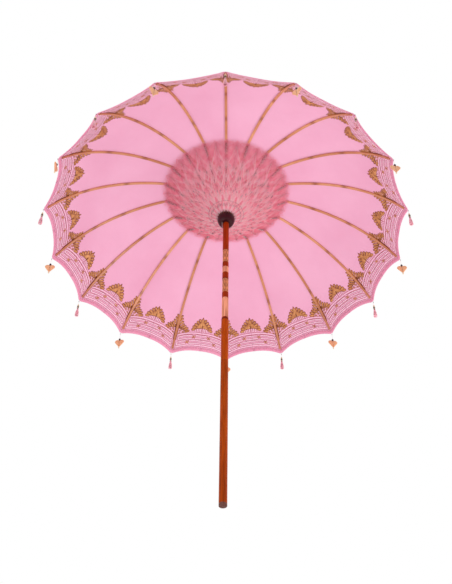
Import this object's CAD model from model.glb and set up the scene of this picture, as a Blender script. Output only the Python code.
"""Garden parasol: printed cotton canopy, string web, ornaments, lacquer and cane around the CAD frame."""
import math
import random

import bpy
import numpy as np
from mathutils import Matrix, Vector


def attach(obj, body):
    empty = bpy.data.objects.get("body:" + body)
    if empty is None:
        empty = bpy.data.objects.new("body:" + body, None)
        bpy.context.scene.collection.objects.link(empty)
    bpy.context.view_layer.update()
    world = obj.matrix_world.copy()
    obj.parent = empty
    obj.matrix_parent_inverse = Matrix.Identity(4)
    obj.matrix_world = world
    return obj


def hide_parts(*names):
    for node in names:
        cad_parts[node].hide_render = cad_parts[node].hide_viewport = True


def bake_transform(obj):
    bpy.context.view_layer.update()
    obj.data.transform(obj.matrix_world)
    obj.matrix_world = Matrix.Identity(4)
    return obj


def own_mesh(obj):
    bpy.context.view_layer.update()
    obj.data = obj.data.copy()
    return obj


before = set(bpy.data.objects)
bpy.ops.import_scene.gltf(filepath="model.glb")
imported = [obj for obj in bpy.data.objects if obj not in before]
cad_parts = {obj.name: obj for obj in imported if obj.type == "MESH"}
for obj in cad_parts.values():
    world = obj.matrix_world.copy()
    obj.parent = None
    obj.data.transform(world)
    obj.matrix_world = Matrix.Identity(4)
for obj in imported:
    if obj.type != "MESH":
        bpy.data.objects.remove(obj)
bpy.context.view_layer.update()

# ---- Dimensions of the frame, in metres and degrees, as the CAD model has them ----

RIBS = 18
PITCH = 360 / RIBS
RIB_SLOPE = 4.0
RIB_ARC_R = 0.880
CORNER_SLOPE = 57.0
ARC_MID_R, ARC_MID_Z = 0.2583, 1.3032
CROWN_HOLE_R = 0.012
RIM_SCALLOP = 0.032
GORE_SAG = 0.006
BOW_POWER = 2.6
MEET_SLOPE = 6.0
STRETCHER_HINGE_R, STRETCHER_HINGE_Z = 0.039, 1.935
CLOTH_LIFT = 0.0054
CORNER_LIFT = 0.006323
RIB_STRIP = 0.008
HANG_DROP = 0.0045
HANG_RING_R = 0.0024
WOOD_HEART_W, WOOD_HEART_H, WOOD_HEART_T = 0.055, 0.060, 0.006
HEART_SPIN = (40, 85, 5, -8, 15, 10, -5, 8, -40)
POLE_JOINT_Z = 1.107
CARVED_BANDS = ((1.297, 1.406), (1.536, 1.643))
FINIAL_FOOT_Z = 2.217

NUMBERS = range(1, RIBS + 1)
rng = random.Random(18)


def azimuth(i):
    return -90 - PITCH * (i - 1)


def numbered(stem, i):
    return f"{stem}_{i:02d}"


# ---- Mesh helpers ----


def mesh_object(name, verts, faces, materials, face_materials=None, uv=None, flat=()):
    """An object in the row frame. uv has one (u, v) for each vertex; flat lists the faces with hard edges."""
    mesh = bpy.data.meshes.new(name)
    mesh.from_pydata([tuple(map(float, v)) for v in verts], [], [tuple(int(k) for k in f) for f in faces])
    for m in materials:
        mesh.materials.append(m)
    if face_materials is not None:
        mesh.polygons.foreach_set("material_index", np.asarray(face_materials, np.int32))
    smooth = np.full(len(mesh.polygons), True)
    smooth[list(flat)] = False
    mesh.polygons.foreach_set("use_smooth", smooth)
    if uv is not None:
        layer = mesh.uv_layers.new(name="cloth")
        loops = np.zeros(len(mesh.loops), np.int32)
        mesh.loops.foreach_get("vertex_index", loops)
        layer.data.foreach_set("uv", np.asarray(uv, np.float32)[loops].ravel())
    mesh.update()
    obj = bpy.data.objects.new(name, mesh)
    bpy.context.scene.collection.objects.link(obj)
    return obj


def polar(r, turn, z):
    """The point at radius r and height z, turned about the Z axis by turn, in radians."""
    return (r * math.cos(turn), r * math.sin(turn), z)


def next_to(k, count):
    """The number after k on a closed ring of count points."""
    return (k + 1) % count


def ring_faces(rings, sides, closed=False):
    """Faces between rings of points that follow one another; closed joins the last ring to the first."""
    faces = []
    for k in range(rings if closed else rings - 1):
        a, b = k * sides, next_to(k, rings) * sides
        faces += [(a + j, a + next_to(j, sides), b + next_to(j, sides), b + j) for j in range(sides)]
    return faces


def turned_over(faces):
    """The same faces, seen from their other side."""
    return [f[:1] + f[:0:-1] for f in faces]


class Build:
    """Collects vertices and faces of many small shapes, with a material number for each face."""

    LATHE_SIDES = 20

    def __init__(self):
        self.verts, self.faces, self.mats, self.flat = [], [], [], []

    def add(self, verts, faces, mat=0):
        start = len(self.verts)
        self.verts.extend(verts)
        self.faces.extend([tuple(k + start for k in f) for f in faces])
        self.mats.extend([mat] * len(faces))

    def tube(self, path, radius, sides, mat, closed=False):
        """A round tube along path; radius is one number or one for each point."""
        path = np.asarray(path, float)
        n = len(path)
        radii = np.full(n, radius) if np.isscalar(radius) else np.asarray(radius, float)
        if closed:
            tangent = np.roll(path, -1, 0) - np.roll(path, 1, 0)
        else:
            tangent = np.gradient(path, axis=0)
        tangent /= np.linalg.norm(tangent, axis=1)[:, None]
        guide = np.array([0.0, 0.0, 1.0])
        if abs(tangent[0] @ guide) > 0.9:
            guide = np.array([1.0, 0.0, 0.0])
        side = np.cross(tangent, guide)
        side /= np.linalg.norm(side, axis=1)[:, None]
        up = np.cross(side, tangent)
        turn = (np.arange(sides) * 2 * math.pi / sides)[None, :, None]
        out = np.cos(turn) * side[:, None] + np.sin(turn) * up[:, None]
        rings = path[:, None] + radii[:, None, None] * out
        faces = ring_faces(n, sides, closed)
        if not closed:
            faces.append(tuple(range(sides))[::-1])
            faces.append(tuple(range((n - 1) * sides, n * sides)))
        self.add([tuple(v) for v in rings.reshape(-1, 3)], faces, mat)
        if not closed:
            self.flat += [len(self.faces) - 2, len(self.faces) - 1]

    def lathe(self, profile, mat):
        """A turned shape about Z from (radius, height) pairs; a radius of zero closes an end."""
        turns = [2 * math.pi * j / self.LATHE_SIDES for j in range(self.LATHE_SIDES)]
        verts, rows = [], []
        for r, z in profile:
            ring = [polar(r, t, z) for t in turns] if r > 0 else [(0.0, 0.0, z)]
            rows.append(list(range(len(verts), len(verts) + len(ring))))
            verts += ring
        faces = []
        for low, high in zip(rows, rows[1:]):
            for j in range(self.LATHE_SIDES):
                k = next_to(j, self.LATHE_SIDES)
                quad = [low[j % len(low)], low[k % len(low)], high[k % len(high)], high[j % len(high)]]
                faces.append(tuple(dict.fromkeys(quad)))
        self.add(verts, faces, mat)

    def object(self, name, materials):
        return mesh_object(name, self.verts, self.faces, materials, self.mats, flat=self.flat)


# ---- Material helpers ----


def srgb(*colour):
    """A colour given as it looks on screen, from 0 to 255."""
    return (*(c / 255 / 12.92 if c <= 10 else ((c / 255 + 0.055) / 1.055) ** 2.4 for c in colour), 1.0)


class Paint:
    """A node material with a Principled shader and short calls for what feeds it."""

    def __init__(self, name):
        self.mat = bpy.data.materials.new(name)
        self.mat.use_nodes = True
        self.tree = self.mat.node_tree
        self.shader = self.tree.nodes["Principled BSDF"]
        self.output = self.tree.nodes["Material Output"]

    def put(self, socket, value):
        if hasattr(value, "is_output"):
            self.tree.links.new(value, socket)
        else:
            socket.default_value = value

    def node(self, kind, inputs, **settings):
        """The outputs of a new node with these settings, and with its inputs filled by name or number."""
        n = self.tree.nodes.new("ShaderNode" + kind)
        for key, value in settings.items():
            setattr(n, key, value)
        for key, value in inputs.items():
            self.put(n.inputs[key], value)
        return n.outputs

    def set(self, **values):
        """Sets inputs of the shader, named with _ for each space."""
        for key, value in values.items():
            self.put(self.shader.inputs[key.replace("_", " ")], value)

    def place(self, scale=(1, 1, 1), source="Object", turn=(0, 0, 0)):
        coords = self.node("TexCoord", {})[source]
        rotation = [math.radians(a) for a in turn]
        return self.node("Mapping", {"Scale": scale, "Rotation": rotation, "Vector": coords})["Vector"]

    def noise(self, where, scale, detail, rough=0.55):
        inputs = {"Vector": where, "Scale": scale, "Detail": detail, "Roughness": rough}
        return self.node("TexNoise", inputs)["Fac"]

    def wave(self, where, scale, direction, distortion, detail):
        inputs = {"Vector": where, "Scale": scale, "Distortion": distortion, "Detail": detail}
        return self.node("TexWave", inputs, bands_direction=direction)["Fac"]

    def math(self, operation, a, b=0.0):
        return self.node("Math", {0: a, 1: b}, operation=operation)[0]

    def steps(self, fac, stops):
        """A ramp that jumps from colour to colour at each (position, colour)."""
        n = self.tree.nodes.new("ShaderNodeValToRGB")
        n.color_ramp.interpolation = "CONSTANT"
        ramp = n.color_ramp.elements
        while len(ramp) < len(stops):
            ramp.new(0.5)
        for element, (position, colour) in zip(ramp, stops):
            element.position = position
            element.color = colour
        self.put(n.inputs["Fac"], fac)
        return n.outputs["Color"]

    def mix(self, fac, a, b):
        return self.node("Mix", {"Factor": fac, 6: a, 7: b}, data_type="RGBA", blend_type="MIX")[2]

    def map_range(self, value, low, high, to_low=0.0, to_high=1.0):
        inputs = {"Value": value, "From Min": low, "From Max": high, "To Min": to_low, "To Max": to_high}
        return self.node("MapRange", inputs)["Result"]

    def tint(self, under, over, fac, low, high, most=1.0):
        """One colour over another, by as much as most, where fac rises from low to high."""
        return self.mix(self.map_range(fac, low, high, 0.0, most), under, over)

    def split(self):
        """The x, y and z of the place on the object."""
        return self.node("SeparateXYZ", {0: self.place()})

    def radius(self):
        """The distance from the pole's axis."""
        x, y, _ = self.split()
        return self.math("SQRT", self.math("ADD", self.math("MULTIPLY", x, x), self.math("MULTIPLY", y, y)))

    def bump(self, height, strength, distance):
        normal = self.node("Bump", {"Strength": strength, "Distance": distance, "Height": height})["Normal"]
        self.set(Normal=normal)
        return normal


# A wave texture has one band for each pi / 10 of its scaled length; a band of weave covers two threads
WAVE_BAND = math.pi / 10
WEAVE_PITCH = 0.0011


def cotton(name, light, dark, glow, share):
    """Plain woven cotton with soft cloudy colour, its threads, and a share of light coming through it."""
    p = Paint(name)
    cloth = p.place(source="UV")
    threads = WAVE_BAND / WEAVE_PITCH / 2
    over = p.math("MAXIMUM", *(p.wave(cloth, threads, axis, 0.6, 1.0) for axis in "XY"))
    clouds = p.noise(p.place(), 3.2, 4.0)
    slubs = p.noise(cloth, 240, 2.0)
    base = p.tint(dark, light, clouds, 0.3, 0.7)
    base = p.tint(base, dark, slubs, 0.35, 0.75, 0.22)
    base = p.mix(p.map_range(over, 0.0, 0.55, 0.25, 0.0), base, dark)
    p.set(Base_Color=base, Roughness=0.86, Sheen_Weight=0.25, Sheen_Roughness=0.5, Sheen_Tint=light)
    p.set(Specular_IOR_Level=0.2)
    normal = p.bump(p.math("ADD", over, p.math("MULTIPLY", slubs, 0.5)), 0.25, 0.0004)
    through = p.node("BsdfTranslucent", {"Color": p.mix(0.5, base, glow), "Normal": normal})[0]
    both = p.node("MixShader", {"Fac": share, 1: p.shader.outputs[0], 2: through})[0]
    p.put(p.output.inputs["Surface"], both)
    return p.mat


def gold_print(name, light, dark):
    """Thick metallic paint, a little broken up where it sits on the threads."""
    p = Paint(name)
    patches = p.noise(p.place(), 55, 4.0)
    grain = p.noise(p.place(), 900, 2.0)
    p.set(Base_Color=p.tint(dark, light, patches, 0.35, 0.65), Metallic=0.25)
    p.set(Roughness=p.map_range(grain, 0.3, 0.7, 0.42, 0.65))
    p.bump(p.math("ADD", grain, patches), 0.5, 0.0006)
    return p.mat


def yarn(name, light, dark):
    """Twisted thread: fine slanting plies, with soft changes of colour along it."""
    p = Paint(name)
    plies = p.wave(p.place(turn=(35, 25, 20)), 85.0, "DIAGONAL", 1.5, 2.0)
    tone = p.tint(dark, light, p.noise(p.place(), 38, 3.0), 0.3, 0.7)
    p.set(Base_Color=p.tint(tone, dark, plies, 0.0, 1.0, 0.2), Roughness=0.8)
    p.set(Sheen_Weight=0.8, Sheen_Roughness=0.6, Sheen_Tint=light)
    p.bump(plies, 0.4, 0.0004)
    return p.mat


def cane(name, node_radii, light, dark):
    """Split bamboo: long fibres, a satin skin, and darker rings at its two nodes."""
    node_half, node_fade, rim_from = 0.003, 0.024, 0.84
    p = Paint(name)
    radius = p.radius()
    fibres = p.noise(p.place((160, 160, 160)), 1.0, 2.0)
    broad = p.noise(p.place(), 7.0, 3.0)
    colour = p.tint(dark, light, broad, 0.32, 0.68)
    colour = p.tint(colour, dark, fibres, 0.4, 0.75, 0.4)
    away = [p.math("ABSOLUTE", p.math("SUBTRACT", radius, r)) for r in node_radii]
    rings = p.math("MAXIMUM", *(p.map_range(a, node_half, node_fade, 1.0, 0.0) for a in away))
    colour = p.mix(p.math("MULTIPLY", rings, 0.6), colour, srgb(128, 58, 32))
    colour = p.tint(colour, srgb(166, 88, 46), radius, rim_from, 1.0, 0.5)
    p.set(Base_Color=colour, Roughness=p.map_range(fibres, 0.3, 0.7, 0.34, 0.52), Coat_Weight=0.15)
    p.bump(p.math("ADD", p.math("MULTIPLY", fibres, 0.5), rings), 0.35, 0.0008)
    return p.mat


def lacquer(name, light, dark, rough=0.16, coat=0.6):
    """Thick glossy lacquer over turned wood."""
    p = Paint(name)
    streaks = p.noise(p.place((40, 40, 9)), 3.0, 4.0)
    dust = p.noise(p.place(), 420, 2.0)
    p.set(Base_Color=p.tint(dark, light, streaks, 0.3, 0.7), Specular_IOR_Level=0.25)
    p.set(Roughness=p.map_range(dust, 0.3, 0.8, rough, rough + 0.12), Coat_Weight=coat, Coat_Roughness=0.08)
    p.bump(streaks, 0.08, 0.001)
    return p.mat


def painted_pole(name, bands, grain_dark):
    """Turned wood, painted in bands by height: bands is a list of (from height, colour)."""
    top = 2.3
    p = Paint(name)
    paint = p.steps(p.map_range(p.split()[2], 0.0, top), [(z / top, colour) for z, colour in bands])
    grain = p.noise(p.place((55, 55, 4)), 2.2, 5.0, 0.6)
    figure = p.noise(p.place((14, 14, 1.2)), 2.0, 3.0)
    colour = p.tint(paint, grain_dark, grain, 0.42, 0.72, 0.75)
    colour = p.tint(colour, grain_dark, figure, 0.4, 0.7, 0.4)
    p.set(Base_Color=colour, Roughness=p.map_range(grain, 0.3, 0.7, 0.36, 0.52), Specular_IOR_Level=0.06)
    p.bump(grain, 0.18, 0.0008)
    return p.mat


def carved_wood(name, hollow, top, low_r, high_r):
    """Carved relief round the pole: dark in its hollows, rubbed pale where it stands out."""
    p = Paint(name)
    grain = p.noise(p.place((90, 90, 12)), 2.0, 4.0)
    colour = p.tint(hollow, top, p.radius(), low_r, high_r)
    colour = p.tint(colour, hollow, grain, 0.4, 0.7, 0.5)
    p.set(Base_Color=colour, Roughness=p.map_range(grain, 0.3, 0.7, 0.4, 0.55), Specular_IOR_Level=0.25)
    p.bump(grain, 0.2, 0.0006)
    return p.mat


def hub_and_finial(name, lacquer_light, lacquer_dark, gold_light, gold_dark):
    """Lacquer on the hub and worn gold paint on the finial above it."""
    p = Paint(name)
    on_finial = p.map_range(p.split()[2], FINIAL_FOOT_Z, FINIAL_FOOT_Z + 0.0004)
    streaks = p.noise(p.place((40, 40, 9)), 3.0, 4.0)
    wear = p.noise(p.place(), 90, 4.0)
    dark_red = p.tint(lacquer_dark, lacquer_light, streaks, 0.3, 0.7)
    gold = p.tint(gold_dark, gold_light, wear, 0.35, 0.65)
    rough = p.math("ADD", p.math("MULTIPLY", on_finial, 0.2), p.map_range(wear, 0.3, 0.8, 0.16, 0.28))
    p.set(Base_Color=p.mix(on_finial, dark_red, gold), Roughness=rough)
    p.set(Metallic=p.math("MULTIPLY", on_finial, 0.6))
    p.bump(wear, 0.15, 0.0006)
    return p.mat


def pale_wood(name, light, dark):
    """Fine-grained wood with a silky finish, the grain running down the piece."""
    p = Paint(name)
    grain = p.noise(p.place((260, 260, 30)), 1.0, 4.0, 0.6)
    tone = p.noise(p.place(), 24, 2.0)
    colour = p.tint(light, dark, grain, 0.35, 0.7)
    colour = p.tint(colour, dark, tone, 0.35, 0.7, 0.35)
    p.set(Base_Color=colour, Roughness=p.map_range(grain, 0.3, 0.7, 0.38, 0.5))
    p.bump(grain, 0.2, 0.0005)
    return p.mat


def metal(name, light, dark):
    p = Paint(name)
    wear = p.noise(p.place(), 180, 4.0)
    p.set(Base_Color=p.tint(dark, light, wear, 0.3, 0.7), Metallic=1.0)
    p.set(Roughness=p.map_range(wear, 0.3, 0.7, 0.3, 0.45))
    p.bump(wear, 0.15, 0.0003)
    return p.mat


def stage_paint(name, light, dark):
    p = Paint(name)
    p.set(Base_Color=p.tint(dark, light, p.noise(p.place(), 0.6, 2.0), 0.3, 0.7), Roughness=0.9)
    return p.mat


PINK = cotton("pink_cotton", srgb(246, 179, 208), srgb(237, 163, 194), srgb(255, 200, 222), 0.34)
HEM_PINK = cotton("hem_cotton", srgb(255, 194, 218), srgb(250, 174, 204), srgb(255, 200, 222), 0.3)
GOLD = gold_print("gold_print", srgb(216, 150, 94), srgb(178, 110, 62))
DARK_GOLD = gold_print("dark_gold_print", srgb(158, 92, 56), srgb(124, 66, 42))
PALE = gold_print("pale_print", srgb(255, 224, 238), srgb(254, 206, 228))
LINE = gold_print("line_print", srgb(190, 102, 108), srgb(162, 78, 90))
WEB_LIGHT = yarn("web_light", srgb(255, 196, 208), srgb(255, 176, 190))
WEB_MID = yarn("web_mid", srgb(255, 164, 180), srgb(252, 146, 164))
WEB_DARK = yarn("web_dark", srgb(250, 138, 158), srgb(238, 114, 138))
LASHING = yarn("lashing_dark", srgb(110, 30, 52), srgb(66, 14, 30))
GREY_THREAD = yarn("grey_thread", srgb(146, 118, 124), srgb(106, 88, 96))
WHITE_THREAD = yarn("white_thread", srgb(252, 222, 220), srgb(238, 194, 196))
HEM_THREAD = yarn("hem_thread", srgb(255, 214, 232), srgb(244, 180, 208))
TASSEL_DARK = yarn("tassel_shade", srgb(255, 180, 194), srgb(244, 152, 172))
TASSEL = yarn("tassel_yarn", srgb(255, 204, 214), srgb(252, 178, 194))
HUB_LIGHT, HUB_DARK = srgb(66, 6, 16), srgb(38, 0, 8)
HUB = lacquer("hub_lacquer", HUB_LIGHT, HUB_DARK, rough=0.32, coat=0.0)
CROWN = hub_and_finial("crown_lacquer", HUB_LIGHT, HUB_DARK, srgb(222, 168, 80), srgb(170, 110, 40))
DARK_BEAD = lacquer("dark_bead", srgb(74, 26, 32), srgb(36, 8, 14))
PALE_BEAD = pale_wood("pale_bead", srgb(240, 214, 180), srgb(214, 176, 136))
HEART = pale_wood("heart_wood", srgb(248, 190, 146), srgb(228, 152, 104))
STEEL = metal("steel", srgb(215, 212, 205), srgb(160, 156, 150))
CARVING = carved_wood("carving", srgb(78, 16, 2), srgb(240, 152, 100), 0.0148, 0.0162)
RED, PEACH, CARVED = srgb(168, 54, 6), srgb(255, 172, 136), srgb(118, 40, 16)
UPPER_POLE = painted_pole(
    "upper_pole",
    [
        (0.0, RED), (POLE_JOINT_Z, PEACH), (1.250, RED), *zip(CARVED_BANDS[0], (CARVED, RED)),
        (1.449, PEACH), (1.493, RED), *zip(CARVED_BANDS[1], (CARVED, RED)),
    ],
    srgb(112, 26, 4),
)
LOWER_POLE = painted_pole(
    "lower_pole",
    [(0.0, srgb(112, 84, 78)), (0.004, srgb(174, 68, 4)), (0.81, srgb(196, 78, 0)), (1.09, srgb(120, 40, 16))],
    srgb(104, 34, 6),
)

# ---- Materials of the CAD nodes that stay ----


def paint_node(node, material):
    """Gives a CAD node its material, in every slot it has."""
    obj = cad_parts[node]
    if len(obj.material_slots) == 0:
        obj.data.materials.append(material)
    for s in obj.material_slots:
        s.link = "OBJECT"
        s.material = material


paint_node("pole_lower", LOWER_POLE)
paint_node("pole_upper", UPPER_POLE)
paint_node("crown", CROWN)
paint_node("runner", HUB)
paint_node("lock_pin", STEEL)
STRETCHER_CANE = cane("stretcher_cane", (0.045, 0.17), srgb(186, 112, 76), srgb(150, 80, 54))
for i in NUMBERS:
    first = rng.uniform(0.50, 0.62)
    second = first + rng.uniform(0.14, 0.24)
    shade = rng.uniform(-12, 10)
    light = srgb(218 + shade, 150 + shade, 108 + shade)
    dark = srgb(190 + shade, 114 + shade, 74 + shade)
    paint_node(numbered("rib", i), cane(numbered("rib_cane", i), (first, second), light, dark))
    paint_node(numbered("stretcher", i), STRETCHER_CANE)

# ---- The canopy's surface ----


def sind(a):
    return np.sin(np.radians(a))


def cosd(a):
    return np.cos(np.radians(a))


ARC_START_R = ARC_MID_R + RIB_ARC_R * sind(RIB_SLOPE)
ARC_START_Z = ARC_MID_Z + RIB_ARC_R * cosd(RIB_SLOPE)
ARC_L = RIB_ARC_R * math.radians(CORNER_SLOPE - RIB_SLOPE)
CLOTH_L = ARC_L + (ARC_START_R - CROWN_HOLE_R) / cosd(RIB_SLOPE)
ARC_SHARE = ARC_L / CLOTH_L
CORNER_R = ARC_MID_R + (RIB_ARC_R + CORNER_LIFT) * sind(CORNER_SLOPE)
CORNER_Z = ARC_MID_Z + (RIB_ARC_R + CORNER_LIFT) * cosd(CORNER_SLOPE)

# Shallow folds that run from rib to rib, which the CAD model's cloth doesn't have
FOLD_DEPTH = 0.0011


def slope_at(s):
    return RIB_SLOPE + (CORNER_SLOPE - RIB_SLOPE) * np.clip((s - 1 + ARC_SHARE) / ARC_SHARE, 0, None)


def rib_line(s, out):
    """Radius and height of the cloth's line over a rib, at share s of its length and lifted by out."""
    slope = slope_at(s)
    k = s / (1 - ARC_SHARE)
    straight_r = CROWN_HOLE_R + (ARC_START_R - CROWN_HOLE_R) * k
    straight_z = ARC_START_Z + (ARC_START_R - CROWN_HOLE_R) * (1 - k) * math.tan(math.radians(RIB_SLOPE))
    on_arc = s >= 1 - ARC_SHARE
    r = np.where(on_arc, ARC_MID_R + (RIB_ARC_R + out) * sind(slope), straight_r + out * sind(RIB_SLOPE))
    z = np.where(on_arc, ARC_MID_Z + (RIB_ARC_R + out) * cosd(slope), straight_z + out * cosd(RIB_SLOPE))
    return r, z


def rib_radius(s):
    return rib_line(np.asarray(s, float), 0.0)[0]


def flat_share(s0):
    """How far the cloth runs flat over the rib before it sinks, as a share of the panel's half width."""
    return np.minimum(0.8, RIB_STRIP / (rib_radius(s0) * sind(PITCH / 2)))


def gore_points(i, s0, u, lift):
    """Points of the cloth of rib i, at share s0 of the way to the rim and u from -1 to 1 across the panel."""
    s0, u = np.asarray(s0, float), np.asarray(u, float)
    half = PITCH / 2
    strip = flat_share(s0)
    beyond = np.maximum(np.abs(u), strip)
    b = 1 - ((1 - beyond) / (1 - strip)) ** BOW_POWER
    s = s0 * (1 - b * RIM_SCALLOP / CLOTH_L)
    p_r, p_z = rib_line(s, lift)
    slope = slope_at(s)
    folds = FOLD_DEPTH * b * np.sin(5 * np.pi * s0 + 1.3 * i) * np.sin(np.pi * np.abs(u))
    sag = GORE_SAG * b * (p_r / CORNER_R) ** 2 + folds
    r_mid = p_r - sag * sind(slope)
    z = p_z - sag * cosd(slope)
    r = r_mid * cosd(half) / cosd(half * (beyond - 1))
    r = np.where(np.abs(u) < strip, r * cosd(half * strip) / cosd(half * u), r)
    a = azimuth(i) + half * u
    return np.stack([r * cosd(a), r * sind(a), z], -1)


def share_at(radius):
    """The share of the cloth's length at which a rib is this far from the pole."""
    if radius < ARC_START_R:
        return float((radius - CROWN_HOLE_R) / (ARC_START_R - CROWN_HOLE_R) * (1 - ARC_SHARE))
    slope = math.degrees(math.asin((radius - ARC_MID_R) / RIB_ARC_R))
    return 1 - ARC_SHARE + ARC_SHARE * (slope - RIB_SLOPE) / (CORNER_SLOPE - RIB_SLOPE)


def half_width(s0):
    """Half the distance from rib to rib, at share s0."""
    return rib_radius(s0) * math.tan(math.radians(PITCH / 2))


def across(i):
    """The direction along the rim at rib i."""
    a = math.radians(azimuth(i))
    return (-math.sin(a), math.cos(a), 0.0)


def at_rib(i, r, z):
    return polar(r, math.radians(azimuth(i)), z)


def grid_faces(rows, columns):
    return [
        (r * columns + c, r * columns + c + 1, (r + 1) * columns + c + 1, (r + 1) * columns + c)
        for r in range(rows - 1)
        for c in range(columns - 1)
    ]


def fold_with(obj, stem, i):
    """Moves with a rib or stretcher, and gathers towards it as the parasol closes."""
    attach(obj, numbered(stem, i))
    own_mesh(obj)


# Over the hub the cloth is clamped; just outside its rim, the cloth bends down with the ribs
BEND_END_R = 0.060

# From there the cloth of each rib is cut into lengths that gather by different amounts as the parasol closes
CUTS = (BEND_END_R, 0.365, 0.600, 0.750, 0.880, CORNER_R)
HALF_COLUMNS = 10
COLUMNS = 2 * HALF_COLUMNS + 1
ROW_STEP = 0.012


def panel_columns(s0):
    """Where a panel's columns lie: one on the rib, one at each edge of the flat strip, the rest beyond."""
    strip = float(flat_share(s0))
    side = strip + (1 - strip) * np.linspace(0, 1, HALF_COLUMNS)
    return np.concatenate([-side[::-1], [0.0], side])


def canopy_piece(i, part, s_in, s_out, step):
    """One length of the cloth over rib i, with its flat size declared."""
    rows = max(6, round((s_out - s_in) * CLOTH_L / step) + 1)
    steps = np.linspace(s_in, s_out, rows)
    s_flat = np.repeat(steps, COLUMNS)
    u_flat = np.concatenate([panel_columns(s) for s in steps])
    points = gore_points(i, s_flat, u_flat, CLOTH_LIFT)
    uv = np.stack([u_flat * half_width(s_flat), s_flat * CLOTH_L], -1)
    obj = mesh_object(f"{numbered('canopy', i)}_{part}", points, grid_faces(rows, COLUMNS), [PINK], uv=uv)
    return obj


def canopy_panels():
    for i in NUMBERS:
        top = canopy_piece(i, "top", 0.0, share_at(BEND_END_R), ROW_STEP / 4)
        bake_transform(top)
        for part, inner, outer in zip("abcde", CUTS, CUTS[1:]):
            s_out = 1.0 if outer == CORNER_R else share_at(outer)
            obj = canopy_piece(i, part, share_at(inner), s_out, ROW_STEP)
            fold_with(obj, "rib", i)
            if i == 1 and part == "a":
                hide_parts("canopy")


canopy_panels()

# ---- Hem ----

HEM_W = 0.024
HEM_HALF_T = 0.0006
HEM_EDGE = ((0.0008, HEM_HALF_T * 0.8), (0.004, HEM_HALF_T), (HEM_W, HEM_HALF_T))
SEAM_AT = HEM_W - 0.003
STITCH_L, STITCH_GAP, STITCH_R = 0.0032, 0.0016, 0.0004
STITCH_RISE = np.array([-0.0001, 0.00035, -0.0001])


def hems():
    """The rim turned over and sewn down: a band of double cloth with a row of stitches on each face."""
    section = [(0.0, 0.0), *HEM_EDGE, *((y, -lift) for y, lift in HEM_EDGE[::-1])]
    columns = panel_columns(1.0)
    n = len(section)
    y, lift = (np.tile(values, len(columns)) for values in zip(*section))
    last = (len(columns) - 1) * n
    faces = turned_over(ring_faces(len(columns), n)) + [tuple(range(n)), tuple(range(last, last + n))[::-1]]
    half = float(half_width(1 - HEM_W / CLOTH_L))
    for i in NUMBERS:
        hem = Build()
        hem.add(gore_points(i, 1 - y / CLOTH_L, np.repeat(columns, n), CLOTH_LIFT + lift), faces)
        for x in np.arange(-half + STITCH_GAP, half - STITCH_L, STITCH_L + STITCH_GAP):
            ends = np.array([x, x + STITCH_L / 2, x + STITCH_L]) / half
            for face in (-1, 1):
                height = CLOTH_LIFT + face * (HEM_HALF_T + STITCH_RISE)
                hem.tube(gore_points(i, 1 - SEAM_AT / CLOTH_L, ends, height), STITCH_R, 4, 1)
        fold_with(hem.object(numbered("hem", i), [HEM_PINK, HEM_THREAD]), "rib", i)


hems()

# ---- Printed border: raised paint, drawn flat as (across, distance from the rim) and laid on the cloth ----

MM = 0.001
PAINT_HALF_T = 0.00035
PAINT_STEP = 0.00002
PAINT_LAYERS = 12
GOLD_MAT, PALE_MAT, LINE_MAT, DARK_MAT = range(4)
LOBE_PROFILE = ((0.0, 0.25), (0.25, 0.36), (0.5, 0.47), (0.72, 0.5), (0.9, 0.36), (0.98, 0.16))


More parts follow.
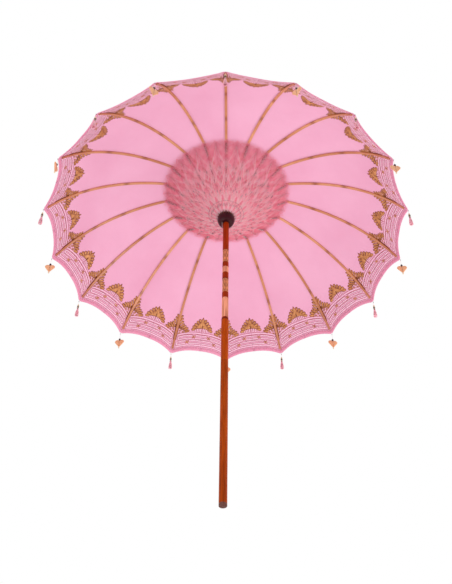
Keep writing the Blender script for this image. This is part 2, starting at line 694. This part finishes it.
class Print(Build):
    """Paint on one panel, measured across from its rib (anchor 0) or from the middle of a gore (1 or -1)."""

    def __init__(self):
        super().__init__()
        self.layers = 0

    def thickness(self):
        """Half the thickness of the next shape, a little more each time, so that no two faces coincide."""
        self.layers = (self.layers + 1) % PAINT_LAYERS
        return PAINT_HALF_T + PAINT_STEP * self.layers

    def ribbon(self, anchor, path, width, mat, closed=False, taper=False):
        path = np.asarray(path, float)
        step = np.roll(path, -1, 0) - np.roll(path, 1, 0) if closed else np.gradient(path, axis=0)
        step /= np.linalg.norm(step, axis=1)[:, None]
        off = np.stack([-step[:, 1], step[:, 0]], -1) * width / 2
        n, t = len(path), self.thickness()
        if taper:
            off *= np.clip(np.minimum(np.arange(n), np.arange(n)[::-1]) / (n / 4), 0.25, 1)[:, None]
        flat = []
        for p, o in zip(path, off):
            flat += [(*(p + o), t), (*(p - o), t), (*(p - o), -t), (*(p + o), -t)]
        faces = ring_faces(n, 4, closed)
        if not closed:
            faces += [(3, 2, 1, 0), (4 * n - 4, 4 * n - 3, 4 * n - 2, 4 * n - 1)]
        self.add([(anchor, *spot) for spot in flat], faces, mat)

    def patch(self, anchor, outline, mat, dome):
        """A filled shape, thicker in its middle by dome."""
        outline = np.asarray(outline, float)
        n, t = len(outline), self.thickness()
        middle = outline.mean(0)
        flat = []
        for side in (1, -1):
            flat += [(*p, side * t) for p in outline]
            flat += [(*(middle + (p - middle) * 0.6), side * (t + dome * 0.75)) for p in outline]
            flat.append((*middle, side * (t + dome)))
        under = 2 * n + 1
        faces = []
        for k in range(n):
            j = next_to(k, n)
            faces += [(k, j, n + j, n + k), (n + k, n + j, 2 * n)]
            faces.append((under + j, under + k, under + n + k, under + n + j))
            faces.append((under + n + j, under + n + k, under + 2 * n))
            faces.append((j, k, under + k, under + j))
        self.add([(anchor, *spot) for spot in flat], faces, mat)

    def lobe(self, anchor, foot, tip, width, mat, spread=0.0):
        """A finger of a leaf, narrow at its foot and round at its tip; spread makes it that much longer."""
        foot, tip = np.asarray(foot, float), np.asarray(tip, float)
        along = tip - foot
        along *= 1 + spread / np.linalg.norm(along)
        side = np.array([-along[1], along[0]]) / np.linalg.norm(along)
        left = [foot + along * s + side * w * width for s, w in LOBE_PROFILE]
        right = [foot + along * s - side * w * width for s, w in LOBE_PROFILE[::-1]]
        self.patch(anchor, left + right, mat, 0.0001 if spread else 0.0007)

    def place(self, i):
        """The paint laid on the cloth of rib i."""
        anchor, x, y, lift = np.array(self.verts).T
        s0 = 1 - y / CLOTH_L
        u = np.clip(anchor + x / half_width(s0), -1, 1)
        points = gore_points(i, s0, u, CLOTH_LIFT + lift)
        return mesh_object(numbered("border", i), points, self.faces, [GOLD, PALE, LINE, DARK_GOLD], self.mats)


def mm(points, flip):
    """Flat points given in millimetres; flip -1 puts them on the other side."""
    return [(flip * x * MM, y * MM) for x, y in points]


def arc_points(middle, radius, start, end, count):
    a = np.radians(np.linspace(start, end, count))
    return [(middle[0] + radius * math.cos(t), middle[1] + radius * math.sin(t)) for t in a]


def middle_x(y):
    """How far the middle of the gore is from the rib, at distance y from the rim."""
    return float(half_width(1 - y / CLOTH_L))


def link(side, from_x, to_x, y, half_height):
    """The outline of a long rounded link beside the rib, left open where it reaches the middle of the gore."""
    near = arc_points((from_x + half_height, y), half_height, 90, 270, 7)
    steps = max(2, round((to_x - from_x) / 0.012))
    open_end = to_x >= middle_x(y)
    stop = to_x if open_end else to_x - half_height
    inner = [from_x + half_height + (stop - from_x - half_height) * k / steps for k in range(1, steps)]
    upper = [(x, y + half_height) for x in inner[::-1]]
    lower = [(x, y - half_height) for x in inner]
    if open_end:
        upper_end, lower_end = ((middle_x(q), q) for q in (y + half_height, y - half_height))
        path = [upper_end] + upper + near + lower + [lower_end]
    else:
        path = near + lower + arc_points((to_x - half_height, y), half_height, -90, 90, 7) + upper
    return [(side * x, q) for x, q in path], not open_end


# In millimetres. Each row of links: its distance from the rim, and where its links begin, from the rib
LINK_ROWS = ((57, (12, 82)), (90, (16, 118)))
LINK_HALF_H, LINK_GAP = 9.2, 5

# Each link has a line outside, a broad pale one and a line inside: how far out, how wide, and its material
LINK_LINES = ((4.8, 2.2, LINE_MAT), (0, 4.6, PALE_MAT), (-4.6, 2.0, LINE_MAT))

# The long lines along the rim: distance from it, width and material
RIM_LINES = (
    (30, 2.4, LINE_MAT), (36, 4.4, PALE_MAT),
    (107.5, 2.4, LINE_MAT), (114, 3.6, PALE_MAT), (121, 2.6, LINE_MAT),
)


# Curls beside the arms of the rib crest: middle across and from the rim, radius and width
CURLS = ((62, 126, 9.0, 5.0), (42, 127, 6.0, 3.5), (24, 141, 7.0, 3.5), (21, 124, 5.0, 3.0))


def lattice(paint, side):
    """Two staggered rows of links on one side of the rib, and the long lines above and below them."""
    for y, starts in LINK_ROWS:
        for from_x, to_x in zip(starts, (*starts[1:], None)):
            for grow, width, mat in LINK_LINES:
                low = (from_x + LINK_GAP) * MM - grow * MM
                high = middle_x(y * MM) if to_x is None else (to_x - LINK_GAP + grow) * MM
                path, closed = link(side, low, high, y * MM, (LINK_HALF_H + grow) * MM)
                paint.ribbon(0, path, width * MM, mat, closed=closed)
        for x in starts[1:]:
            for turn in (-1, 1):
                for rise in (-1, 1):
                    foot, tip = mm([(x + turn, y), (x + turn * 10, y + rise * 8)], side)
                    paint.lobe(0, foot, tip, 6.0 * MM, GOLD_MAT)
    for y, width, mat in RIM_LINES:
        reach = np.linspace(0.009, middle_x(y * MM), 16)
        paint.ribbon(0, [(side * x, y * MM) for x in reach], width * MM, mat)


def leaf_fingers(paint, anchor, flip, fingers):
    """A row of fingers, each gold on a darker edge that parts it from its neighbours."""
    for foot, tip, width in fingers:
        foot, tip = mm([foot, tip], flip)
        paint.lobe(anchor, foot, tip, (width + 4.5) * MM, DARK_MAT, spread=2.2 * MM)
        paint.lobe(anchor, foot, tip, (width - 1) * MM, GOLD_MAT)


def gore_crest(paint, side):
    """Half of the pointed crest in the middle of a gore; the next panel has the other half."""
    flip, foot_y = -side, 125
    for k in range(9):
        low_x, high_x, high_y = 3 + 5.4 * k, 2 + 6.2 * k, 152 - k
        bend = [
            (low_x + (high_x - low_x) * t - 1.4 * k * t * (1 - t), foot_y + (high_y - foot_y) * t)
            for t in np.linspace(0, 1, 5)
        ]
        width, mat = (2.6, PALE_MAT) if k % 2 else (2.8, LINE_MAT)
        paint.ribbon(side, mm(bend, flip), width * MM, mat)
    body = [
        (0, 147), (14, 146), (28, 144), (42, 141), (54, 138), (54, 148),
        (46, 158), (37, 168), (28, 179), (18, 190), (9, 200), (0, 206),
    ]
    paint.patch(side, mm(body, flip), DARK_MAT, 0.0002)
    leaf_fingers(paint, side, flip, [
        ((40, 142), (68, 137), 15), ((36, 151), (63, 158), 15), ((28, 161), (51, 176), 15),
        ((19, 172), (37, 193), 14), ((10, 184), (22, 207), 12),
    ])
    inner = [(2, 150), (14, 149), (28, 147), (42, 143), (39, 152), (31, 162), (22, 173), (12, 184), (2, 192)]
    paint.patch(side, mm(inner, flip), GOLD_MAT, 0.0009)
    for x, y in ((40, 143), (28, 148), (17, 151), (7, 153)):
        vein = [(x - 0.5 * t, y + (0.9 - 0.008 * x) * t) for t in (0, 6, 12, 18)]
        paint.ribbon(side, mm(vein, flip), 2.4 * MM, DARK_MAT, taper=True)
    heart = [(0, 158), (10, 166), (13, 178), (11, 194), (5, 209), (0, 222)]
    paint.patch(side, mm([(x + 1.8 * (x > 0), y) for x, y in heart], flip), DARK_MAT, 0.0008)
    paint.patch(side, mm([(x * 0.88, 188 + (y - 188) * 0.93) for x, y in heart], flip), GOLD_MAT, 0.0014)


def rib_crest(paint, side):
    """Half of the spear and the two arms that the print has over a rib."""
    spear = [(1, 258), (7, 246), (10, 232), (11, 216), (11, 196), (9, 180), (1, 172)]
    stem = [(1, 174), (11, 180), (12, 150), (11, 112), (10, 84), (1, 78)]
    arm = [
        (9, 182), (22, 170), (36, 158), (50, 147), (62, 137),
        (57, 129), (44, 136), (31, 145), (18, 154), (9, 158),
    ]
    paint.patch(0, mm(spear, side), GOLD_MAT, 0.0003)
    paint.patch(0, mm(stem, side), DARK_MAT, 0.0002)
    paint.patch(0, mm(arm, side), DARK_MAT, 0.0003)
    leaf_fingers(paint, 0, side, [
        ((6, 216), (16, 240), 11), ((6, 198), (23, 219), 13), ((9, 180), (31, 197), 14),
        ((16, 163), (40, 178), 14), ((27, 151), (54, 163), 14), ((40, 141), (69, 148), 14),
        ((50, 131), (80, 129), 12),
    ])
    for x, y, radius, width in CURLS:
        curl = []
        for turn in range(0, 501, 36):
            reach = radius * (1 - 0.6 * turn / 500)
            curl.append((x + reach * math.cos(math.radians(turn)), y + reach * math.sin(math.radians(turn))))
        paint.ribbon(0, mm(curl, side), (width + 2) * MM, DARK_MAT, taper=True)
        paint.ribbon(0, mm(curl, side), width * MM, GOLD_MAT, taper=True)


def borders():
    paint = Print()
    for side in (-1, 1):
        lattice(paint, side)
        gore_crest(paint, side)
        rib_crest(paint, side)
    for i in NUMBERS:
        fold_with(paint.place(i), "rib", i)


borders()

# ---- String web: threads from each stretcher to the middles of the gores beside it ----

STRETCHER_RISE = math.degrees(math.atan2(
    ARC_MID_Z + RIB_ARC_R * cosd(MEET_SLOPE) - STRETCHER_HINGE_Z,
    ARC_MID_R + RIB_ARC_R * sind(MEET_SLOPE) - STRETCHER_HINGE_R,
))
WEB_IN_R, WEB_OUT_R, RING_R = 0.047, 0.371, 0.0925
WEB_JOINT_R = 0.349
WEB_THIN_R = 0.356
THREAD_R = 0.00085
THREAD_OVERLAP = 0.0022
THREAD_SIDES = 4
MARK_LIFT = -0.0112
LIGHT, MID, DEEP, DARK, GREY, WHITE = range(6)
WEB_YARNS = [WEB_LIGHT, WEB_MID, WEB_DARK, LASHING, GREY_THREAD, WHITE_THREAD]

# How much nearer the rim or the pole a thread is at the middle of the gore than at its stretcher
WEB_SLANTS = (0.0, 0.018, -0.018, 0.046, -0.046)
INNER_TONES = (LIGHT, WHITE, LIGHT, WHITE, LIGHT)
MIDDLE_TONES = (LIGHT, MID, LIGHT, MID, DEEP)
OUTER_TONES = (MID, DEEP, MID, LIGHT, DEEP)
OUTER_TONES_R = 0.23

# Crossing threads that lie lowest: radius of the first one, slant, and how many
LONG_THREADS = (
    (0.090, 0.088, 3), (0.118, -0.088, 2), (0.172, 0.074, 3),
    (0.196, -0.066, 3), (0.236, 0.096, 2), (0.150, -0.098, 2),
)


def on_stretcher(i, radius, lift):
    """A point of stretcher i's line, moved square to it by lift; it always stays below the rib."""
    along = (radius - STRETCHER_HINGE_R) / cosd(STRETCHER_RISE)
    r = STRETCHER_HINGE_R + along * cosd(STRETCHER_RISE) - lift * sind(STRETCHER_RISE)
    z = STRETCHER_HINGE_Z + along * sind(STRETCHER_RISE) + lift * cosd(STRETCHER_RISE)
    return np.array(at_rib(i, r, min(z, float(rib_line(np.asarray(share_at(r)), lift)[1]))))


def gore_middle(i, side, radius, lift):
    """The middle of a gore beside stretcher i, on the cone of the stretchers' lines."""
    here, there = on_stretcher(i, radius, lift), on_stretcher(i + side, radius, lift)
    return (here + there) / 2


def between(i, side, radius, lift, share):
    """A point on the web's cone, share of the way from stretcher i to the middle of the gore."""
    return on_stretcher(i, radius, lift) * (1 - share) + gore_middle(i, side, radius, lift) * share


def web_pattern():
    """Threads of half a gore: radius on the stretcher, radius at the middle, lift, thickness and colour."""
    draw = random.Random(7)
    threads = []
    for family, slant in enumerate(WEB_SLANTS):
        spacing = 0.0046 + 0.0004 * family
        for k in range(int((WEB_OUT_R - WEB_IN_R) / spacing)):
            a = WEB_IN_R + spacing * (k + 0.13 * family) + draw.uniform(-0.0009, 0.0009)
            m = a + slant
            outside = a > WEB_OUT_R or not (WEB_IN_R - 0.002 < m < WEB_OUT_R)
            thinned = max(a, m) > WEB_THIN_R and (k + family) % 2
            if outside or thinned:
                continue
            band = int((a + 0.5 * slant) / 0.021 + family * 1.7) % 5
            tones = INNER_TONES if m < RING_R else MIDDLE_TONES if a < OUTER_TONES_R else OUTER_TONES
            lift = -0.0052 - 0.0011 * ((family + 1) // 2) - 0.0003 * (k % 3)
            threads.append((a, m, lift, THREAD_R * draw.uniform(0.8, 1.15), tones[band]))
    for start, slant, count in LONG_THREADS:
        for k in range(count):
            a = start + 0.0048 * k + draw.uniform(-0.0012, 0.0012) - min(slant, 0)
            if max(a, a + slant) < 0.352:
                threads.append((a, a + slant, -0.0094, THREAD_R * 0.75, (LIGHT, WHITE, MID)[k]))
    return threads


def lay_threads(web, rim, i, side, draw, pattern):
    """The threads of half a gore: those that end near the rib go to the rim, which folds with the rib."""
    for a, m, lift, radius, tone in pattern:
        start = on_stretcher(i, a, lift)
        end = gore_middle(i, side, m, lift)
        bow = (start + end) / 2 + np.array([0, 0, draw.uniform(-0.0010, 0.0004)])
        over = (end - start) * (THREAD_OVERLAP / np.linalg.norm(end - start))
        build = rim if max(a, m) > WEB_JOINT_R else web
        build.tube([start - over, bow, end + over], radius, THREAD_SIDES, tone)


def lay_frays(rim, i, side, draw):
    """Loose ends that stick out at the outer edge of the web."""
    count = 26
    for k in range(count):
        share = (k + draw.random()) / count
        r = WEB_OUT_R - draw.uniform(0.004, 0.016)
        ends = [between(i, side, r + out, -0.0062, share) for out in (0, 0.004, draw.uniform(0.009, 0.015))]
        ends[1] = ends[1] + np.array(across(i)) * draw.uniform(-0.002, 0.002)
        rim.tube(ends, [0.0006, 0.0004, 0.0002], THREAD_SIDES, draw.choice((LIGHT, MID, MID)))


def lay_marks(web, i, side, draw):
    """The ring of dark thread near the runner, the stubs inside it, and short dark marks further out."""
    dashes, stubs = 6, 5
    for k in range(dashes):
        ends = [between(i, side, RING_R, MARK_LIFT, (k + t) / dashes) for t in (0.12, 0.78)]
        web.tube(ends, 0.0009, THREAD_SIDES, GREY)
    for k in range(stubs):
        share = (k + draw.random()) / stubs
        low = RING_R - draw.uniform(0.012, 0.026)
        ends = [between(i, side, r, MARK_LIFT, share) for r in (low, low + draw.uniform(0.004, 0.009))]
        web.tube(ends, 0.0005, THREAD_SIDES, GREY)
    for _ in range(3):
        r, share = draw.uniform(0.13, 0.27), draw.uniform(0.35, 0.9)
        for step in range(draw.choice((2, 3))):
            low = r + 0.0035 * step
            slanted = ((low, share), (low + 0.006, share - 0.16))
            ends = [between(i, side, at_r, MARK_LIFT, at_share) for at_r, at_share in slanted]
            web.tube(ends, 0.0006, THREAD_SIDES, draw.choice((GREY, GREY, DEEP)))


def zigzag(build, i, from_r, to_r, half, pitch, radius, mat, lift):
    """A thread wound to and fro over a stretcher."""
    count = max(3, int((to_r - from_r) / pitch))
    turn = np.array(across(i))
    path = []
    for k in range(count + 1):
        r = from_r + (to_r - from_r) * k / count
        path.append(on_stretcher(i, r, lift + 0.0004 * (k % 2)) + turn * half * (1 if k % 2 else -1))
    build.tube(path, radius, THREAD_SIDES, mat)


def lay_lashings(web, i, draw):
    """Dark and white thread round the outer end of the stretcher, and short windings further in."""
    zigzag(web, i, draw.uniform(0.288, 0.306), 0.344, 0.0058, 0.0042, 0.0009, DARK, MARK_LIFT + 0.0004)
    zigzag(web, i, draw.uniform(0.280, 0.296), 0.340, 0.0055, 0.0066, 0.0009, WHITE, MARK_LIFT - 0.0006)
    if draw.random() < 0.6:
        r = draw.uniform(0.215, 0.240)
        zigzag(web, i, r, r + 0.022, 0.0042, 0.0052, 0.0008, DARK, MARK_LIFT)
    for r in (0.135, 0.180):
        r += draw.uniform(-0.012, 0.012)
        zigzag(web, i, r, r + 0.012, draw.uniform(0.002, 0.0035), 0.0034, 0.0007, GREY, MARK_LIFT)


def string_web():
    pattern = web_pattern()
    for i in NUMBERS:
        draw = random.Random(100 + i)
        web, rim = Build(), Build()
        for side in (-1, 1):
            lay_threads(web, rim, i, side, draw, pattern)
            lay_frays(rim, i, side, draw)
            lay_marks(web, i, side, draw)
        lay_lashings(web, i, draw)
        fold_with(web.object(numbered("string_web", i), WEB_YARNS), "stretcher", i)
        fold_with(rim.object(numbered("web_rim", i), WEB_YARNS), "rib", i)


string_web()

# ---- Carved bands of the pole ----

CARVED_FLOOR_R, CARVED_DEPTH = 0.0146, 0.0018
CARVED_MARGIN, CARVED_EDGE = 0.004, 0.0032
CARVED_PETALS, CARVED_ROWS = 7, 4
CARVED_AROUND, CARVED_LEVELS = 112, 76


def carved_height(turn, level):
    """How far the carving stands out, from 0 to 1, at this turn (in petals) and level (in rows)."""
    best = 0.0
    for row in (math.floor(level) - 1, math.floor(level)):
        rise = (level - row) / 2
        if not 0 <= rise <= 1 or row < -1 or row > CARVED_ROWS - 1:
            continue
        shift = turn + 0.5 * (row % 2)
        off = abs(shift - round(shift)) * 2
        reach = math.sin(math.pi * rise) ** 0.75
        if reach > 0.02 and off < reach:
            dome = (1 - (off / reach) ** 2) ** 0.5 * reach
            vein = 0.35 * math.exp(-(off / 0.10) ** 2)
            best = max(best, (dome - vein) * (1 - 0.25 * (row % 2)))
    return best


def carved_ring(z, shares):
    """A ring of points round the pole, each standing out by its share of the carving's depth."""
    return [
        polar(CARVED_FLOOR_R + CARVED_DEPTH * share, 2 * math.pi * j / CARVED_AROUND, z)
        for j, share in enumerate(shares)
    ]


def carved_bands():
    """A sleeve of carved leaves between two raised edges, in each recess of the pole."""
    inside, raised, sunk = ([share] * CARVED_AROUND for share in (-0.0004 / CARVED_DEPTH, 1.0, 0.1))
    for number, (low, high) in enumerate(CARVED_BANDS, 1):
        low, high = low + CARVED_MARGIN, high - CARVED_MARGIN
        foot, top = low + CARVED_EDGE, high - CARVED_EDGE
        rings = [(low, inside), (low, raised), (low + CARVED_EDGE * 0.7, raised), (foot, sunk)]
        for k in range(1, CARVED_LEVELS):
            level = CARVED_ROWS * k / CARVED_LEVELS
            heights = (carved_height(CARVED_PETALS * j / CARVED_AROUND, level) for j in range(CARVED_AROUND))
            rings.append((foot + (top - foot) * k / CARVED_LEVELS, [0.08 + 0.92 * h for h in heights]))
        rings += [(top, sunk), (high - CARVED_EDGE * 0.7, raised), (high, raised), (high, inside)]
        verts = [point for z, shares in rings for point in carved_ring(z, shares)]
        faces = ring_faces(len(rings), CARVED_AROUND, closed=True)
        obj = mesh_object(f"carving_{number}", verts, faces, [CARVING])
        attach(obj, "upper_pole")


carved_bands()

# ---- Ornaments, built hanging from the origin and then set at their corners ----

RING_MAT, THREAD_MAT, KNOT_MAT, PALE_BEAD_MAT, DARK_BEAD_MAT, BODY_MAT, TRIM_MAT = range(7)
HANGER_MATERIALS = [STEEL, WHITE_THREAD, LASHING, PALE_BEAD, DARK_BEAD]
LOOP_TURNS = np.radians(np.arange(0, 360, 24))
STRAND_R, STRAND_OFF, STRAND_TWIST = 0.00045, 0.00042, 3600
COIL_R, COIL_STEP = 0.0006, 0.0011
THREAD_TOP = -HANG_RING_R


def loop(radius, z, lean=0.0):
    """A loop of thread round the hanger, one side of it higher by lean."""
    return [polar(radius, t, z + lean * math.sin(t)) for t in LOOP_TURNS]


def spun(points, degrees):
    """Points turned about the Z axis."""
    c, s = math.cos(math.radians(degrees)), math.sin(math.radians(degrees))
    return [(x * c - y * s, x * s + y * c, z) for x, y, z in points]


def add_bead(build, z, radius, half_height, mat, bore=0.0007):
    side = [
        (bore + (radius - bore) * math.sqrt(1 - (t * 0.94) ** 2), z + half_height * float(t))
        for t in np.linspace(-1, 1, 11)
    ]
    build.lathe([(bore, z - half_height)] + side + [(bore, z + half_height)], mat)


def add_hanger(build, thread_to):
    """The small ring at the corner, the twisted thread below it and the knot that ties it."""
    ring = [(HANG_RING_R * math.cos(t), 0, HANG_RING_R * math.sin(t)) for t in LOOP_TURNS]
    build.tube(ring, 0.0006, 6, RING_MAT, closed=True)
    heights = np.linspace(THREAD_TOP - 0.0006, thread_to, max(8, int(abs(thread_to) / 0.0016)))
    for phase in (0, math.pi):
        turns = heights * STRAND_TWIST + phase
        build.tube([polar(STRAND_OFF, t, z) for t, z in zip(turns, heights)], STRAND_R, 5, THREAD_MAT)
    for k in range(3):
        knot = loop(0.0013, THREAD_TOP - 0.0022 - COIL_STEP * k, 0.0003)
        build.tube(knot, COIL_R, 5, KNOT_MAT, closed=True)


def set_at_corner(build, node, i, materials):
    """Turns the built shape to rib i, moves it to the corner there, and puts it in the ornament's place."""
    hung = [(x + CORNER_R, y, z + CORNER_Z - HANG_DROP) for x, y, z in build.verts]
    build.verts = spun(hung, azimuth(i))
    obj = build.object(node + "_piece", HANGER_MATERIALS + materials)
    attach(obj, node)
    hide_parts(node)


SKIRT_TOP, SKIRT_L, SKIRT_R = -0.062, 0.064, 0.0105
NECK_Z = SKIRT_TOP - 0.007
YARN_RADII = (0.0004, 0.0006, 0.0006, 0.00065, 0.0007, 0.0007, 0.00055)

# Layers of yarn from the outside in: how many, how far out they hang, and how much shorter they are
SKIRT_LAYERS = ((30, 1.0, 0.0), (24, 0.84, 0.001), (14, 0.55, 0.002))


def tassel_skirt(t, draw):
    """Yarn laid over the tied neck, spreading and a little uneven at the foot."""
    for layer, (count, spread, lift) in enumerate(SKIRT_LAYERS):
        for k in range(count):
            a = 2 * math.pi * (k + 0.37 * layer) / count + draw.uniform(-0.04, 0.04)
            swing = draw.uniform(-0.05, 0.05)
            foot = SKIRT_TOP - SKIRT_L + lift + draw.uniform(0.0, 0.0035)
            profile = [
                (0.0024, SKIRT_TOP - 0.0004), (0.0046, SKIRT_TOP - 0.0028), (0.0041, NECK_Z),
                (0.0052, NECK_Z - 0.008), (0.0072 * spread + 0.001, NECK_Z - 0.024),
                (SKIRT_R * spread - 0.0009, foot + 0.012), (SKIRT_R * spread - 0.0007, foot),
            ]
            turns = [a + swing * n / 6 for n in range(len(profile))]
            path = [polar(r, turn, z) for turn, (r, z) in zip(turns, profile)]
            t.tube(path, YARN_RADII, 5, BODY_MAT if (k + layer) % 4 else TRIM_MAT)


def tassel(i):
    t = Build()
    add_hanger(t, SKIRT_TOP - 0.002)
    add_bead(t, -0.036, 0.005, 0.005, PALE_BEAD_MAT)
    for z in (-0.0465, -0.0555):
        add_bead(t, z, 0.006, 0.0034, DARK_BEAD_MAT)
        for k in (-1, 1):
            add_bead(t, z + k * 0.0036, 0.0042, 0.0009, PALE_BEAD_MAT)
    core = [
        (0.0, SKIRT_TOP), (0.0026, SKIRT_TOP - 0.0006), (0.0042, SKIRT_TOP - 0.003), (0.0040, NECK_Z),
        (0.0038, NECK_Z - 0.003), (0.0052, NECK_Z - 0.010), (0.0060, NECK_Z - 0.030), (0.0, NECK_Z - 0.034),
    ]
    t.lathe(core, BODY_MAT)
    tassel_skirt(t, random.Random(200 + i))
    for k in range(5):
        t.tube(loop(0.0046, NECK_Z + 0.002 - COIL_STEP * k), COIL_R, 5, KNOT_MAT, closed=True)
    set_at_corner(t, numbered("tassel", i), i, [TASSEL, TASSEL_DARK])


LOBE_Z = -0.072
LOBE_R = WOOD_HEART_W * 0.27
LOBE_X = WOOD_HEART_W / 2 - LOBE_R
POINT_Z = -(WOOD_HEART_H - LOBE_R)
HEART_FOOT_Z = LOBE_Z + POINT_Z
NOTCH_Z = LOBE_Z + LOBE_R * 0.45
HEART_HALF_T = WOOD_HEART_T / 2

# The rounded edge of the heart: how far it is drawn in, and how far it lies from the middle plane
HEART_EDGE = ((0.0, HEART_HALF_T - 0.0016), (0.0012, HEART_HALF_T - 0.0004), (0.0030, HEART_HALF_T))


def heart_outline(inset):
    """The heart's outline with its lobes' line at height zero, drawn in by inset."""
    reach = math.hypot(LOBE_X, POINT_Z)
    leave = math.degrees(math.atan2(POINT_Z, -LOBE_X) + math.acos(LOBE_R / reach))
    r = LOBE_R - inset
    meet = math.degrees(math.acos(min(1.0, LOBE_X / r)))
    right = arc_points((LOBE_X, 0), r, 180 - meet, leave, 15)
    left = [(-x, z) for x, z in right[::-1]]
    return [(0.0, right[0][1] * 0.98)] + right[1:] + [(0.0, POINT_Z + inset * 1.35)] + left[:-1]


def heart_board(h):
    """The sawn heart: a flat board with rounded edges and faces that rise a little to the middle."""
    levels = [(inset, -y) for inset, y in HEART_EDGE[::-1]] + list(HEART_EDGE)
    verts = [(x, y, LOBE_Z + z) for inset, y in levels for x, z in heart_outline(inset)]
    n = len(verts) // len(levels)
    faces = turned_over(ring_faces(len(levels), n))
    for start, side in ((0, -1), (len(verts) - n, 1)):
        middle = len(verts)
        verts.append((0, side * (HEART_HALF_T + 0.0005), LOBE_Z - 0.012))
        faces += [(start + k, start + next_to(k, n), middle)[::-side] for k in range(n)]
    h.add(verts, faces, BODY_MAT)


def wooden_heart(i):
    h = Build()
    add_hanger(h, NOTCH_Z + 0.003)
    add_bead(h, NOTCH_Z + 0.011, 0.0065, 0.009, DARK_BEAD_MAT)
    add_bead(h, NOTCH_Z + 0.0012, 0.0024, 0.0012, PALE_BEAD_MAT)
    heart_board(h)
    seam = ((0.92, NOTCH_Z - 0.0015), (1, NOTCH_Z - 0.004), (1.12, LOBE_Z - 0.012), (1, HEART_FOOT_Z + 0.006))
    for y in (-HEART_HALF_T - 0.0004, HEART_HALF_T + 0.0004):
        h.tube([(0, y * out, z) for out, z in seam], 0.0005, 6, TRIM_MAT)
    h.tube([(0, 0, HEART_FOOT_Z + 0.002), (0, 0, HEART_FOOT_Z - 0.006)], 0.0006, 6, THREAD_MAT)
    add_bead(h, HEART_FOOT_Z - 0.005, 0.004, 0.004, PALE_BEAD_MAT, bore=0.0004)
    h.verts = spun(h.verts, HEART_SPIN[i // 2 - 1] - azimuth(i))
    set_at_corner(h, numbered("heart", i), i, [HEART, LASHING])


for i in NUMBERS:
    if i % 2 == 1:
        tassel(i)
    else:
        wooden_heart(i)

# ---- Camera, light and floor ----

CAMERA_X, CAMERA_Y, CAMERA_Z = 0.035, -3.1925, -2.2275
CAMERA_PITCH, CAMERA_ROLL, CAMERA_SHIFT = 47.94, -0.24, -0.0054
FOCAL_PIXELS, FRAME_H = 924.1, 584
SENSOR = 36.0
FLOOR_Z, FLOOR_HALF = -2.6, 20.0


def make_camera():
    data = bpy.data.cameras.new("camera")
    data.sensor_width = SENSOR
    data.lens = FOCAL_PIXELS / FRAME_H * SENSOR
    data.shift_x = CAMERA_SHIFT
    data.clip_end = 100
    camera = bpy.data.objects.new("camera", data)
    camera.location = (CAMERA_X, CAMERA_Y, CAMERA_Z)
    camera.rotation_euler = (math.radians(90 + CAMERA_PITCH), math.radians(CAMERA_ROLL), 0)
    bpy.context.scene.collection.objects.link(camera)
    bpy.context.scene.camera = camera


def area_light(name, place, target, size, power):
    data = bpy.data.lights.new(name, "AREA")
    data.shape = "DISK"
    data.size = size
    data.energy = power
    light = bpy.data.objects.new(name, data)
    light.location = place
    light.rotation_euler = (Vector(target) - Vector(place)).to_track_quat("-Z", "Y").to_euler()
    bpy.context.scene.collection.objects.link(light)


def make_stage():
    """A pale floor far below, and a white world that is a little weaker as a light than to the camera."""
    corners = [(x * FLOOR_HALF, y * FLOOR_HALF, FLOOR_Z) for x, y in ((-1, -1), (1, -1), (1, 1), (-1, 1))]
    white = stage_paint("floor_paint", srgb(252, 252, 252), srgb(246, 246, 246))
    mesh_object("floor", corners, [(0, 1, 2, 3)], [white], flat=(0,))
    world = bpy.data.worlds.new("studio")
    world.use_nodes = True
    backdrop = world.node_tree.nodes["Background"]
    backdrop.inputs["Color"].default_value = (1, 1, 1, 1)
    seen = world.node_tree.nodes.new("ShaderNodeLightPath")
    strength = world.node_tree.nodes.new("ShaderNodeMapRange")
    strength.inputs["To Min"].default_value = 0.85
    strength.inputs["To Max"].default_value = 1.0
    world.node_tree.links.new(seen.outputs["Is Camera Ray"], strength.inputs["Value"])
    world.node_tree.links.new(strength.outputs["Result"], backdrop.inputs["Strength"])
    bpy.context.scene.world = world
    bpy.context.scene.view_settings.view_transform = "Standard"


make_camera()
make_stage()
area_light("key", (1.9, 0.5, 0.1), (-0.3, -0.3, 2.0), 2.4, 38)
area_light("fill", (-2.4, -1.6, 0.1), (0.0, 0.0, 2.0), 2.4, 22)
